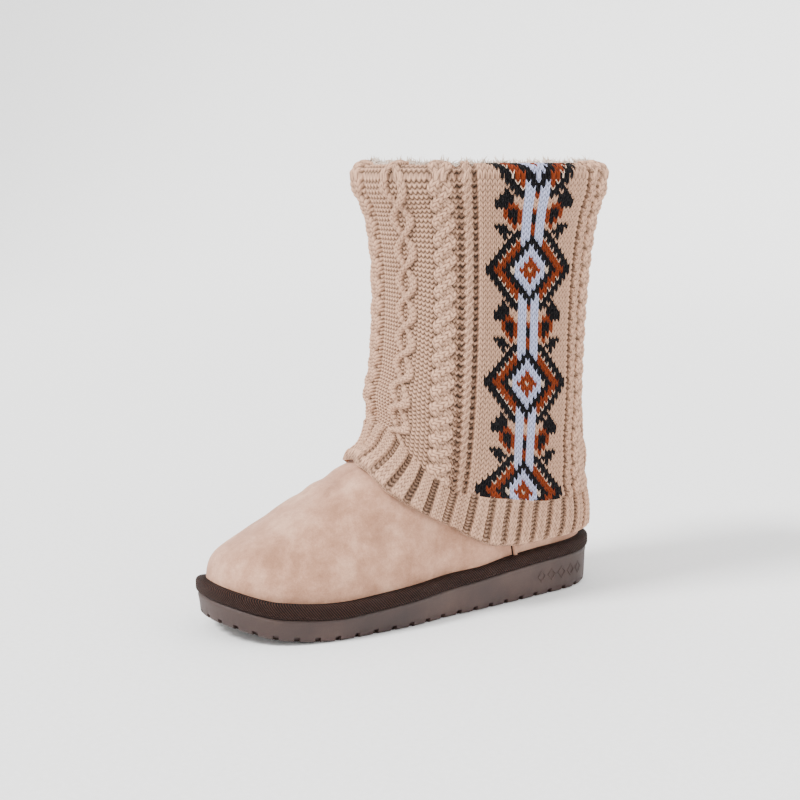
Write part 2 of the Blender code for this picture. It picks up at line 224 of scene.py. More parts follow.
# Foamed rubber, moulded: a dull grey-brown skin with a faint pebble of about 0.5 mm, paler where it is rubbed
foam_rubber, tree, shader, place = new_finish("foam_rubber")
clouds = add_node(tree, "TexNoise", Vector=place, Scale=28.0, Detail=5.0).outputs["Fac"]
tones = ramp_stops(add_node(tree, "ValToRGB", Fac=clouds), [
    (0.30, linear("#291A17")), (0.55, linear("#36241F")), (0.78, linear("#47332C")),
])
pebble = add_node(tree, "TexNoise", Vector=place, Scale=1400.0, Detail=2.0).outputs["Fac"]
speck = add_node(tree, "MapRange", Value=pebble, From_Min=0.3, From_Max=0.7, To_Min=0.86, To_Max=1.1).outputs[0]
mixed = add_node(tree, "Mix", {"data_type": "RGBA", "blend_type": "MULTIPLY"}, _0=1.0, _6=tones, _7=speck)
bump = add_node(tree, "Bump", Strength=0.35, Distance=0.0002, Height=pebble)
dress(shader, mixed.outputs[2], bump, Roughness=0.62, IOR=1.5)

_, _, outline_length = edge_line([0.0, 0.4, 0.8])
notch_count = round(outline_length / NOTCH_PITCH)
pitch = outline_length / notch_count
step = NOTCH_WIDTH / 2
offsets = np.array([-0.5 * pitch, -0.37 * pitch, -0.22 * pitch, -step - 0.0003, -step, 0, step, step + 0.0003,
                    0.22 * pitch, 0.37 * pitch])
cut = np.array([0, 0, 0, 0, 1, 1, 1, 0, 0, 0])
places = (np.arange(notch_count)[:, None] * pitch + offsets + pitch / 2).ravel() / outline_length
notched = np.tile(cut, notch_count)[:, None]
points, out, _ = edge_line(places)
base = floor_lift(points[:, 1])
top = sole_top(points[:, 1])
# Each ring: how far out, its height above the floor's or below the top's, and the same in a notch
SOLE_RINGS = [
    (-0.0062, 0.0, -0.0062, 0.0), (-0.0030, 0.0, -0.0030 - NOTCH_REACH * 0.3, 0.0),
    (-0.0021, 0.0003, -0.0012 - NOTCH_REACH, 0.0006), (-0.0014, 0.0012, -0.0012 - NOTCH_REACH, 0.0014),
    (-0.0012, 0.0024, -0.0012 - NOTCH_REACH, NOTCH_HEIGHT - 0.0002), (-0.0011, NOTCH_HEIGHT, -0.0012, NOTCH_HEIGHT),
    (-0.0009, 0.0060, -0.0009, 0.0060),
]
rings = []
for reach, rise, cut_reach, cut_rise in SOLE_RINGS:
    moved = points + out * np.where(notched, cut_reach, reach)
    rings.append(at_height(moved, base + np.where(notched[:, 0], cut_rise, rise)))
for reach, drop in [(-0.0004, 0.0040), (0.0, 0.0018), (-0.0001, 0.0008), (-0.0008, 0.0)]:
    moved = points + out * reach
    rings.append(at_height(moved, top - drop))
count = len(points)
outsole = piece_from("outsole_rubber", np.concatenate(rings), [
    ring_faces(count, len(rings))[:, ::-1], *plate_faces(count, 0, False),
    *plate_faces(count, count * (len(rings) - 1), True),
], foam_rubber)

# The grooves between the cross bars are cut with blocks
grooves = [HEEL_CENTRE + BAR_PITCH * (i - 1.5) for i in range(4)] + [0.130 + BAR_PITCH * i for i in range(9)]
for i, along in enumerate(grooves):
    centre, half = sole_half(np.array([along]))
    bpy.ops.mesh.primitive_cube_add(size=1, location=(centre[0], HEEL_CENTRE - along, floor_lift(along)),
                                    scale=(2 * (half[0] - TREAD_MARGIN), GROOVE_WIDTH, 2 * GROOVE_DEPTH))
    cutter = bpy.context.object
    modifier = outsole.modifiers.new("groove", "BOOLEAN")
    modifier.object = cutter
    modifier.solver = "EXACT"
    bpy.ops.object.select_all(action="DESELECT")
    bpy.context.view_layer.objects.active = outsole
    bpy.ops.object.modifier_apply(modifier=modifier.name)
    bpy.data.objects.remove(cutter)
outsole.data.set_sharp_from_angle(angle=math.radians(40))
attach(outsole, "root")
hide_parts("outsole")

# A row of plain raised lozenges on each side of the heel
LOZENGES = 5
LOZENGE_START = 0.041
LOZENGE_PITCH = 0.0086
LOZENGE_HALF = 0.0039
LOZENGE_TALL = 1.15
LOZENGE_LEVEL = 0.0128
# Each frame's four rows: its size and how far out it stands
LOZENGE_ROWS = [(1.0, -0.0012), (0.90, -0.0002), (0.66, -0.0002), (0.56, -0.0012)]
corner_s, corner_z = np.array([-1, 0, 1, 0]), np.array([0, 1, 0, -1])
starts = [LOZENGE_START + LOZENGE_PITCH * i for i in range(LOZENGES)]
rings = []
for start in starts + [outline_length - start for start in starts]:
    for size, reach in LOZENGE_ROWS:
        at = (start + corner_s * LOZENGE_HALF * size) / outline_length
        spots = [edge_line([a, a + 0.0005, a + 0.001]) for a in at]
        moved = np.array([points[1] + out[1] * reach for points, out, _ in spots])
        rings.append(at_height(moved, LOZENGE_LEVEL + corner_z * LOZENGE_HALF * size * LOZENGE_TALL))
faces = np.concatenate([ring_faces(4, 4, closed=True) + 16 * i for i in range(2 * LOZENGES)])
lozenges = piece_from("outsole_lozenges", np.concatenate(rings), [faces], foam_rubber, sharp=30)
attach(lozenges, "root")

# ----------------------------------------------------------------------
# Midsole: a board wrapped round its edge in dark grosgrain tape, which stands a little proud of the rubber.
# The tape's ribs lean, because it is pulled round the curve as it is glued.
GAP = 0.0003
MIDSOLE_THICKNESS = 0.0085
TAPE_PROUD = 0.0012
TAPE_CORNER = 0.0024
TAPE_RIB = 0.0016
TAPE_LEAN = 0.0019
TURNED_UNDER = 0.0030
COLUMNS_PER_TAPE_RIB = 4


def platform_top(along):
    return sole_top(along) + GAP + MIDSOLE_THICKNESS


# Grosgrain: matt polyester thread in fine ribs. Its colour follows the ribs' height, with painted shade nearly
# black in the grooves and painted light on the dusty brown tops
grosgrain, tree, shader, place = new_finish("grosgrain_tape")
# A rib's wave, turned by the height so that the ribs lean
rib = add_node(tree, "Attribute", {"attribute_name": "rib"}).outputs["Vector"]
rib = add_node(tree, "SeparateXYZ", Vector=rib).outputs
lean_cos = add_node(tree, "Math", {"operation": "COSINE"}, _0=rib[2]).outputs[0]
lean_sin = add_node(tree, "Math", {"operation": "SINE"}, _0=rib[2]).outputs[0]
height = add_node(tree, "Math", {"operation": "MULTIPLY"}, _0=lean_sin, _1=rib[1]).outputs[0]
height = add_node(tree, "Math", {"operation": "MULTIPLY_ADD"}, _0=lean_cos, _1=rib[0], _2=height).outputs[0]
height = add_node(tree, "MapRange", Value=height, From_Min=-1.0, From_Max=1.0).outputs[0]
threads = add_node(tree, "TexNoise", Vector=place, Scale=2200.0, Detail=2.0).outputs["Fac"]
dust = add_node(tree, "TexNoise", Vector=place, Scale=70.0, Detail=4.0).outputs["Fac"]
level = add_node(tree, "Math", {"operation": "MULTIPLY_ADD"}, _0=dust, _1=0.35, _2=height).outputs[0]
level = add_node(tree, "Math", {"operation": "MULTIPLY_ADD"}, _0=threads, _1=0.35, _2=level).outputs[0]
# The ramp turns the ribs' height into colour: painted shade in the grooves, lighter tops
tones = ramp_stops(add_node(tree, "ValToRGB", Fac=level), [
    (0.55, linear("#030101")), (0.9999, linear("#0F0604")), (1.0, linear("#3A231B")),
])
bump = add_node(tree, "Bump", Strength=0.8, Distance=0.0004, Height=level)
dress(shader, tones, bump, Roughness=0.9, Specular_IOR_Level=0.2)

rib_count = round(outline_length / TAPE_RIB)
count = rib_count * COLUMNS_PER_TAPE_RIB
points, out, _ = edge_line(np.arange(count) / count)
turn = np.linspace(0, 1, 6) * math.pi / 2
corner = [(TAPE_PROUD - TAPE_CORNER * (1 - math.sin(a)), TAPE_CORNER * (1 - math.cos(a))) for a in turn]
profile = [(TAPE_PROUD - TAPE_CORNER - TURNED_UNDER, 0.0)] + corner
profile += [(TAPE_PROUD, TAPE_CORNER + (MIDSOLE_THICKNESS - 2 * TAPE_CORNER) * t) for t in (0.25, 0.5, 0.75)]
profile += [(reach, MIDSOLE_THICKNESS - rise) for reach, rise in corner[::-1]]
profile += [(TAPE_PROUD - TAPE_CORNER - TURNED_UNDER, MIDSOLE_THICKNESS)]
base = sole_top(points[:, 1]) + GAP
phase = 2 * np.pi * np.arange(count) / COLUMNS_PER_TAPE_RIB
rings = []
ribs = []
for reach, rise in profile:
    moved = points + out * reach
    rings.append(at_height(moved, base + rise))
    ribs.append(np.column_stack([np.cos(phase), np.sin(phase), 0 * phase + 2 * np.pi * rise / TAPE_LEAN]))
midsole = piece_from("midsole_tape", np.concatenate(rings), [
    ring_faces(count, len(rings))[:, ::-1], *plate_faces(count, 0, False),
    *plate_faces(count, count * (len(rings) - 1), True),
], grosgrain)
layer = midsole.data.attributes.new("rib", "FLOAT_VECTOR", "POINT")
layer.data.foreach_set("vector", np.concatenate(ribs).astype(np.float32).ravel())
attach(midsole, "root")
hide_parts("midsole")

# ----------------------------------------------------------------------
# Upper: a foot and shaft of faux suede, lasted over the board. It is a plain rounded vamp with a seam on each
# side, and the knitted leg hides its shaft.
FEATHER_INSET = 0.0045
UPPER_WALL = 0.0028
DOME_HEIGHT = 0.112
DOME_SIDE_POWER = 2.5
DOME_TOP_POWER = 2.3
SIDE_BULGE = 0.0022
BULGE_HEIGHT = 0.030
COLLAR_HEIGHT = 0.267
SHAFT_CENTRE = 0.072
SHAFT_FRONT = 0.066
SHAFT_BACK = 0.066
SHAFT_SIDE = 0.050
SHAFT_POWER = 2.25
INSTEP_FILLET = 0.040
SIDE_FILLET = 0.004
LEVEL_START = 0.46
CENTRE_SHIFT_HEIGHT = 0.055
RAY_STEP = 0.0085

# The foot dome's ridge from the heel to the toe, as shares of its height
DOME_RIDGE = np.array([
    (0.000, 0.00), (0.012, 0.40), (0.040, 0.95), (0.200, 1.25), (0.380, 1.20), (0.470, 1.13), (0.560, 0.720),
    (0.650, 0.615), (0.780, 0.455), (0.880, 0.318), (0.940, 0.236), (0.975, 0.160), (1.000, 0.00),
])
# The shaft's front, back and side radii from the platform up to the collar, as shares of the sizes above
SHAFT_ROWS = np.array([
    (0.00, 0.50, 0.90, 0.60), (0.22, 0.65, 0.93, 0.77), (0.45, 0.99, 0.88, 0.93), (0.75, 1.07, 0.92, 0.99),
    (0.90, 1.12, 0.96, 1.04), (1.00, 1.23, 1.04, 1.13),
])
SHAFT_BASE = float(platform_top(np.array(SHAFT_CENTRE)))


def smooth_step(share):
    share = np.clip(share, 0, 1)
    return share * share * (3 - 2 * share)


def foot_distance(x, along, height):
    heel = along - FEATHER_INSET
    toe = SOLE_LENGTH - FEATHER_INSET - along
    outside = (heel <= 0) | (toe <= 0)
    heel = np.where(outside, 0.01, heel)
    toe = np.where(outside, 0.01, toe)
    rise = np.maximum(height - platform_top(along), 0)
    ridge = DOME_HEIGHT * column(DOME_RIDGE, 1, heel / (SOLE_LENGTH - 2 * FEATHER_INSET))
    share = along / SOLE_LENGTH
    bulge = SIDE_BULGE * np.sin(np.pi * np.minimum(rise / BULGE_HEIGHT, 1))
    half = column(SOLE_PLAN, 2, share) * BALL_WIDTH - FEATHER_INSET + bulge
    half = half * end_round(heel, HEEL_ROUND) * end_round(toe, TOE_ROUND)
    centre = column(SOLE_PLAN, 1, share) * BALL_WIDTH
    reach = (np.abs(x - centre) / half) ** DOME_SIDE_POWER + (rise / ridge) ** DOME_TOP_POWER
    return np.where(outside, SOLE_LENGTH, (reach ** (1 / DOME_SIDE_POWER) - 1) * np.minimum(half, ridge))


def shaft_distance(x, along, height):
    share = (height - SHAFT_BASE) / (COLLAR_HEIGHT - SHAFT_BASE)
    ahead = along - SHAFT_CENTRE
    front = column(SHAFT_ROWS, 1, share) * SHAFT_FRONT
    reach = np.where(ahead > 0, front, column(SHAFT_ROWS, 2, share) * SHAFT_BACK)
    side = column(SHAFT_ROWS, 3, share) * SHAFT_SIDE
    ratio = (np.abs(ahead) / reach) ** SHAFT_POWER + (np.abs(x) / side) ** SHAFT_POWER
    return (ratio ** (1 / SHAFT_POWER) - 1) * np.minimum(reach, side)


def skin_distance(x, along, height):
    foot = foot_distance(x, along, height)
    shaft = shaft_distance(x, along, height)
    ahead = smooth_step((along - SHAFT_CENTRE) / SHAFT_FRONT * 1.6)
    fillet = SIDE_FILLET + (INSTEP_FILLET - SIDE_FILLET) * ahead
    near = np.maximum(fillet - np.abs(foot - shaft), 0) / fillet
    return np.minimum(foot, shaft) - near * near * fillet / 4


def skin_at(angle, centre_x, centre_along, height_at):
    """The upper's outermost face in these directions from middles. Angle 0 is the toe's, a quarter turn the
    outer side's. Gives points."""
    def point(radius):
        along = centre_along + np.cos(angle) * radius
        return centre_x + np.sin(angle) * radius, along, height_at(along)

    near = np.full(angle.shape, 20 * RAY_STEP)
    found = np.zeros(angle.shape, bool)
    for _ in range(20):
        found |= skin_distance(*point(near)) <= 0
        near = np.where(found, near, near - RAY_STEP)
    far = near + RAY_STEP
    for _ in range(15):
        middle = (near + far) / 2
        outside = skin_distance(*point(middle)) > 0
        far = np.where(outside, middle, far)
        near = np.where(outside, near, middle)
    x, along, height = point(near)
    return np.stack([x, HEEL_CENTRE - along, height], -1)


def upper_rings(shares, count):
    """The outer face's points on levels that follow the platform near it and are flat above the instep."""
    rise = np.asarray(shares)[:, None] * (COLLAR_HEIGHT - SHAFT_BASE)
    angle = 2 * np.pi * np.arange(count)[None, :] / count + 0 * rise
    flat = smooth_step(rise / DOME_HEIGHT)
    shift = smooth_step(rise / CENTRE_SHIFT_HEIGHT)
    start = LEVEL_START * SOLE_LENGTH
    centre_x = sole_half(np.array(start))[0] * (1 - shift)
    centre_along = start * (1 - shift) + SHAFT_CENTRE * shift

    def height_at(along):
        return rise + SHAFT_BASE * flat + (platform_top(along) + GAP) * (1 - flat)

    return skin_at(angle, centre_x, centre_along, height_at)


def normals_of(rings):
    """The way out of the surface at each point of a grid of rings."""
    round_it = np.roll(rings, -1, 1) - np.roll(rings, 1, 1)
    up = np.gradient(rings, axis=0)
    normal = np.cross(round_it, up)
    return normal / np.linalg.norm(normal, axis=2)[..., None]


def moved_out(rings, distance):
    """Rings moved along the surface's own normal. The end rings keep their heights."""
    normal = normals_of(rings)
    normal[[0, -1], :, 2] = 0
    normal /= np.linalg.norm(normal, axis=2)[..., None]
    return rings + normal * distance


# Faux suede: a brushed, flocked face whose short nap lies this way and that, so it clouds from warm tan to pale
# pink, with a soft light along its edges
suede, tree, shader, place = new_finish("brushed_suede")
clouds = add_node(tree, "TexNoise", Vector=place, Scale=52.0, Detail=8.0, Roughness=0.7, Distortion=0.15)
tones = ramp_stops(add_node(tree, "ValToRGB", Fac=clouds.outputs["Fac"]), [
    (0.34, linear("#976C54")), (0.50, linear("#AE8168")), (0.66, linear("#C59A80")),
])
nap = add_node(tree, "TexNoise", Vector=place, Scale=1100.0, Detail=3.0).outputs["Fac"]
shade = add_node(tree, "MapRange", Value=nap, From_Min=0.3, From_Max=0.7, To_Min=0.90, To_Max=1.08).outputs[0]
mixed = add_node(tree, "Mix", {"data_type": "RGBA", "blend_type": "MULTIPLY"}, _0=1.0, _6=tones, _7=shade)
soft = add_node(tree, "Bump", Strength=0.25, Distance=0.0012, Height=clouds.outputs["Fac"])
bump = add_node(tree, "Bump", Strength=0.30, Distance=0.0002, Height=nap, Normal=soft.outputs[0])
dress(shader, mixed.outputs[2], bump, Roughness=0.95, Sheen_Weight=0.35, Sheen_Roughness=0.5,
      Sheen_Tint=linear("#F0D8CC"))

UPPER_COLUMNS = 300
shares = np.concatenate([np.linspace(0, 0.03, 5)[:-1], np.linspace(0.03, 0.46, 64), np.linspace(0.48, 1.0, 14)])
outer = upper_rings(shares, UPPER_COLUMNS)
inner = moved_out(outer, -UPPER_WALL)
# Creases and soft dents: both ends as (x, along), and how deep and how wide each is
CREASES = [
    ((-0.030, 0.196), (0.022, 0.204), 0.0009, 0.0050), ((-0.036, 0.181), (0.034, 0.188), 0.0011, 0.0055),
    ((-0.012, 0.168), (0.042, 0.172), 0.0008, 0.0050), ((0.030, 0.150), (0.046, 0.176), 0.0009, 0.0065),
    ((0.046, 0.108), (0.047, 0.138), 0.0008, 0.0060), ((-0.046, 0.120), (-0.044, 0.160), 0.0009, 0.0065),
    ((0.004, 0.226), (0.030, 0.222), 0.0006, 0.0060), ((0.040, 0.060), (0.046, 0.092), 0.0008, 0.0070),
    ((-0.030, 0.215), (-0.010, 0.238), 0.0006, 0.0060), ((-0.040, 0.050), (-0.044, 0.085), 0.0008, 0.0070),
]
pressed = 0 * outer[..., 0]
for start, end, deep, wide in CREASES:
    line = np.array(end) - start
    here = np.stack([outer[..., 0], HEEL_CENTRE - outer[..., 1]], -1) - start
    t = np.clip(here @ line / (line @ line), 0, 1)
    across = np.linalg.norm(here - t[..., None] * line, axis=-1) / wide
    pressed += deep * (1.4 * across ** 2 - 1) * np.exp(-across ** 2) * np.sin(np.pi * (0.12 + 0.76 * t))
held = smooth_step((shares[:, None] - 0.012) / 0.05) * smooth_step((0.40 - shares[:, None]) / 0.08)
outer = outer + normals_of(outer) * (pressed * held)[..., None]
keep = np.r_[0:4, 4:68:4, 68:82:2, 81]
rows = [outer, inner[keep][::-1]]
ring_total = len(outer) + len(keep)
upper = piece_from("suede_upper", np.concatenate(rows).reshape(-1, 3),
                   [ring_faces(UPPER_COLUMNS, ring_total, closed=True)], suede, sharp=60)
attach(upper, "root")
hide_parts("upper")


def cord(name, line, radius, finish):
    """A round cord along these points, closed at both ends."""
    ways = np.gradient(line, axis=0)
    ways /= np.linalg.norm(ways, axis=1)[:, None]
    side = np.cross(ways, [1.0, 0.2, 0.1])
    side /= np.linalg.norm(side, axis=1)[:, None]
    other = np.cross(ways, side)
    turn = 2 * np.pi * np.arange(10) / 10
    spokes = side[:, None] * np.cos(turn)[:, None] + other[:, None] * np.sin(turn)[:, None]
    rings = line[:, None] + radius * spokes
    ends = [np.arange(10)[None, ::-1], np.arange(10)[None] + 10 * (len(line) - 1)]
    piece = piece_from(name, rings.reshape(-1, 3), [ring_faces(10, len(line)), *ends], finish, sharp=70)
    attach(piece, "root")


# The side seams: a piping of the same suede, and the dark thread beside it, from the platform up under the knit
SEAM_BOTTOM = 0.0285
SEAM_TOP = 0.062
PIPING_RADIUS = 0.0015
THREAD_RADIUS = 0.0006
THREAD_AHEAD = 0.045
heights = np.linspace(SEAM_BOTTOM, SEAM_TOP, 16)
lean = np.radians(np.interp(heights, [0.030, 0.037, 0.065], [84, 81, 78]))
for side_name, way in [("outer", 1), ("inner", -1)]:
    line = skin_at(way * lean, 0.0, SHAFT_CENTRE, lambda along: heights)
    cord("seam_piping_" + side_name, line + [way * 0.0005, 0, 0], PIPING_RADIUS, suede)
    line = skin_at(way * (lean - THREAD_AHEAD), 0.0, SHAFT_CENTRE, lambda along: heights)
    cord("seam_thread_" + side_name, line - [way * 0.0001, 0, 0], THREAD_RADIUS, grosgrain)

# ----------------------------------------------------------------------
# Insole and lining: fleece glued on a thin footbed, and the same pile up the inside of the foot and the shaft.
# Its locks stand up at the collar.
INSOLE_THICKNESS = 0.0050
INSOLE_GAP = 0.0006
LINING_DEPTH = 0.0022
LOCK_LENGTH = 0.0046
LOCK_WIDTH = 0.0013
KNIT_GAP = 0.0008
TURN_DOWN = 0.020
TURN_WALL = 0.0032

# Faux fur: fine crimped acrylic fibre in cream, with painted shade: warm and darker down between the locks, where
# the bump is low
fleece, tree, shader, place = new_finish("fleece_pile")
clumps = add_node(tree, "TexNoise", Vector=place, Scale=260.0, Detail=5.0, Roughness=0.65).outputs["Fac"]
# The clumps also drive the bump, so the colour darkens where the pile dips: painted shade
tones = ramp_stops(add_node(tree, "ValToRGB", Fac=clumps), [
    (0.30, linear("#C9AE9A")), (0.48, linear("#E2CEBD")), (0.66, linear("#F3E6DA")),
])
bump = add_node(tree, "Bump", Strength=0.9, Distance=0.0015, Height=clumps)
dress(shader, tones, bump, Roughness=1.0, Sheen_Weight=0.4, Sheen_Tint=linear("#FFF4E8"))

LINING_LOCKS = 3600
COLLAR_LOCKS = 8000
footbed = INSOLE_THICKNESS / (COLLAR_HEIGHT - SHAFT_BASE)
rings = moved_out(upper_rings([0.0, footbed], 160), -UPPER_WALL - INSOLE_GAP)
insole = piece_from("insole_fleece", rings.reshape(-1, 3), [
    ring_faces(160, 2), *plate_faces(160, 0, True), *plate_faces(160, 160, False)], fleece)
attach(insole, "root")
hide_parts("insole")

dice = np.random.default_rng(7)
lining_shares = np.linspace(footbed * 1.1, 0.915, 46)
face = moved_out(upper_rings(lining_shares, 180), -UPPER_WALL - 0.0002)
pile = moved_out(face, -LINING_DEPTH)
bumps = dice.normal(0, 1, pile.shape[:2])
bumps = (bumps + np.roll(bumps, 1, 0) + np.roll(bumps, 1, 1) + np.roll(bumps, -1, 1)) * 0.25
pile = pile + normals_of(pile) * (bumps * 0.0006)[..., None]
lining = piece_from("lining_fleece", np.concatenate([face, pile[::-1]]).reshape(-1, 3),
                    [ring_faces(180, 92, closed=True)], fleece, sharp=80)
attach(lining, "root")


def fur(name, roots, ways, length, finish):
    """Locks of fur: three-sided tapering tufts that bend, one on each root, along these ways."""
    total = len(roots)
    ways = ways / np.linalg.norm(ways, axis=1)[:, None]
    side = np.cross(ways, dice.normal(0, 1, ways.shape))
    side /= np.linalg.norm(side, axis=1)[:, None]
    other = np.cross(ways, side)
    bend = (side * dice.normal(0, 0.6, (total, 1)) + other * dice.normal(0, 0.6, (total, 1)))
    points = []
    for t, width in [(0.0, 1.0), (0.55, 0.75), (1.0, 0.10)]:
        spine = roots + (ways * t + bend * t * t) * length[:, None]
        for corner in range(3):
            a = 2 * math.pi * corner / 3
            points.append(spine + (side * math.cos(a) + other * math.sin(a)) * LOCK_WIDTH * width * 0.5)
    points = np.stack(points, 1)
    faces = []
    for level in range(2):
        for corner in range(3):
            after = (corner + 1) % 3
            faces.append((level * 3 + corner, level * 3 + after, level * 3 + 3 + after, level * 3 + 3 + corner))
    starts = np.arange(total)[:, None, None] * 9
    tips = np.array([[6, 7, 8]]) + np.arange(total)[:, None] * 9
    feet = np.array([[2, 1, 0]]) + np.arange(total)[:, None] * 9
    piece = piece_from(name, points.reshape(-1, 3), [(starts + np.array(faces)[None]).reshape(-1, 4), tips, feet],
                       finish, sharp=180)
    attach(piece, "root")
    return piece


def scattered(rings, total, low=0.0, high=1.0):
    """Random points on a grid of rings, between two shares of its height, with the way in from the surface."""
    r = (low + (high - low) * dice.random(total)) * (len(rings) - 1.001)
    c = dice.random(total) * rings.shape[1]
    row, col = r.astype(int), c.astype(int)
    a, b = (r - row)[:, None], (c - col)[:, None]
    after = (col + 1) % rings.shape[1]
    low_edge = rings[row, col] * (1 - b) + rings[row, after] * b
    high_edge = rings[row + 1, col] * (1 - b) + rings[row + 1, after] * b
    return low_edge * (1 - a) + high_edge * a, -normals_of(rings)[row, col]


roots, ways = scattered(pile, LINING_LOCKS, 0.25, 1.0)
ways = ways + [0, 0, 0.9] + dice.normal(0, 0.45, ways.shape)
fur("lining_locks", roots, ways, LOCK_LENGTH * dice.uniform(0.5, 1.0, LINING_LOCKS), fleece)

# ----------------------------------------------------------------------
# Knitted leg: a tube knitted from thick acrylic-wool yarn, 144 stitches round. Ribs at the hem, then rope and
# lozenge cables with ladders between them and a flat panel with a geometric pattern on each side. It is turned
# down over the collar.
KNIT_WALL = 0.0050
FOLD_RISE = 0.0055
WALES = 144
POINTS_PER_WALE = 6
RIB_LEAST = 0.024
RIB_START = 0.0101
RIB_PITCH = 0.01437
RIB_PITCH_BACK = 0.01085
RIB_CHANGE = 0.125
RIB_LEAN = 0.0065
POINTS_PER_COURSE = 4
RIB_COURSES = 9
FIELD_COURSES = 60.5
PANEL_RIB_TOP = 0.068

# Where every so many stitches lie round the leg from the front along the outer side, in metres at mid height,
# and where the same stitches are pulled to at the ribs. The two panels are stitches 24 to 48 and 87 to 111.
STITCH_PLACES = np.array([
    (0, 0.0000, 0.0000), (17, 0.0484, 0.0455), (22.7, 0.0646, 0.0570), (24, 0.0683, 0.0598), (36.8, 0.1065, 0.1125),
    (48, 0.1398, 0.1570), (58, 0.1670, 0.1790), (67.5, 0.1930, 0.1970), (72, 0.2052, 0.2055), (77, 0.2188, 0.2150),
    (87, 0.2460, 0.2360), (98, 0.2788, 0.2760), (111, 0.3175, 0.3250), (118, 0.3375, 0.3430), (144, 0.4118, 0.4118),
])
# By the same lengths: where the ribs end
RIB_TOP = np.array([
    (0.000, 0.105), (0.020, 0.098), (0.040, 0.087), (0.050, 0.080), (0.060, 0.077), (0.080, 0.072), (0.100, 0.068),
    (0.120, 0.065), (0.140, 0.063), (0.206, 0.062),
])
HEM_ROWS = np.array([
    (0.00, 0.350), (0.06, 0.336), (0.12, 0.290), (0.18, 0.232), (0.25, 0.184), (0.35, 0.150), (0.50, 0.138),
    (1.00, 0.138),
])
# From the hem up to the fold: the shares of the clearance and of the wall
KNIT_ROWS = np.array([
    (0.000, 3.2, 0.60), (0.015, 3.0, 1.00), (0.060, 3.0, 1.00), (0.110, 2.6, 0.95), (0.145, 2.2, 0.88),
    (0.250, 1.6, 0.88), (0.360, 1.5, 0.90), (0.480, 1.2, 0.95), (0.640, 1.0, 1.06), (0.800, 1.0, 1.32),
    (0.910, 1.0, 1.70), (0.965, 1.0, 1.98), (1.000, 1.0, 1.85),
])

# The leg's girth at mid height, to turn lengths round it into angles
angle = np.radians(np.arange(0, 360.25, 0.25))
girth_line = skin_at(angle, 0.0, SHAFT_CENTRE, lambda along: 0.16 + 0 * along)[:, :2]
girth_line = girth_line + np.stack([np.sin(angle), -np.cos(angle)], 1) * 0.006
walked = np.concatenate([[0], np.cumsum(np.linalg.norm(np.diff(girth_line, axis=0), axis=1))])
walked *= STITCH_PLACES[-1, 1] / walked[-1]
columns_round = WALES * POINTS_PER_WALE
wale = np.arange(columns_round) / POINTS_PER_WALE
place_middle = np.interp(wale, STITCH_PLACES[:, 0], STITCH_PLACES[:, 1])
place_low = column(STITCH_PLACES, 2, wale)

# The hem's line round the leg, and the ribs' ends
low_angle = np.interp(place_low, walked, angle)
hem_height = column(HEM_ROWS, 1, 1 - np.abs(low_angle / np.pi - 1)) * COLLAR_HEIGHT
from_front = np.minimum(place_low, walked[-1] - place_low)
rib_top = np.maximum(np.interp(from_front, RIB_TOP[:, 0], RIB_TOP[:, 1]), hem_height + RIB_LEAST)
hem_line = skin_at(low_angle, 0.0, SHAFT_CENTRE, lambda along: hem_height)
steps = np.linalg.norm(np.roll(hem_line, -1, 0) - hem_line, axis=1)
hem_walk = np.concatenate([[0], np.cumsum(steps)[:-1]])
back_walk = np.interp(np.pi, low_angle, hem_walk)
hem_walk = np.where(low_angle < np.pi, hem_walk, (steps.sum() - hem_walk) * back_walk / (steps.sum() - back_walk))

# Rows of the grid in courses above the ribs, from the hem to the collar
rib_rows = np.arange(-RIB_COURSES * POINTS_PER_COURSE, 0) / POINTS_PER_COURSE
field_rows = np.arange(0, FIELD_COURSES * POINTS_PER_COURSE + 1) / POINTS_PER_COURSE
share = field_rows[:, None] / FIELD_COURSES
field_height = PANEL_RIB_TOP + (COLLAR_HEIGHT - PANEL_RIB_TOP) * share
field_height = field_height + (rib_top - PANEL_RIB_TOP) * (1 - share) ** 1.7
field_place = place_middle + (place_low - place_middle) * (1 - share) ** 4
share = 1 + rib_rows[:, None] / RIB_COURSES
rib_height = hem_height + (rib_top - hem_height) * share
course = np.concatenate([rib_rows, field_rows])
height = np.concatenate([rib_height, field_height])
stitch_angle = np.interp(np.concatenate([place_low + 0 * rib_height, field_place]), walked, angle)

rise = (height - hem_height) / (COLLAR_HEIGHT - hem_height)
clear = KNIT_GAP * column(KNIT_ROWS, 1, rise)
wall = KNIT_WALL * column(KNIT_ROWS, 2, rise)
CREST = 0.0026
# Slack folds over the instep: how far from the front along the girth, height, depth, half width and half height
FOLDS = [
    (0.000, 0.134, 0.0022, 0.045, 0.0090), (0.000, 0.1205, -0.0014, 0.040, 0.0055),
    (0.015, 0.111, 0.0010, 0.030, 0.0050), (0.155, 0.088, 0.0012, 0.030, 0.0080),
    (-0.050, 0.125, -0.0016, 0.030, 0.0070), (0.205, 0.105, -0.0014, 0.035, 0.0080),
]
# The wall's outer face stands off the skin along its normal, so the angle asked for is corrected until each
# stitch lies where it should round the leg
turned = stitch_angle.copy()
for _ in range(3):
    skin = skin_at(turned, 0.0, SHAFT_CENTRE, lambda along: height)
    skin_way = normals_of(skin)
    face = skin + skin_way * (clear + wall - CREST)[..., None]
    seen = np.arctan2(face[..., 0], HEEL_CENTRE - SHAFT_CENTRE - face[..., 1])
    turned += (stitch_angle - seen + np.pi) % (2 * np.pi) - np.pi


def knit_face(w, r):
    """Plain knitting: each stitch a V of two leaning legs. Gives 0 to 1."""
    from_middle = np.abs(w % 1 - 0.5) * 2
    leg = np.abs(np.sin(np.pi * (r - 0.7 * from_middle)))
    return leg ** 0.7 * (0.45 + 0.55 * np.abs(np.sin(np.pi * from_middle)))


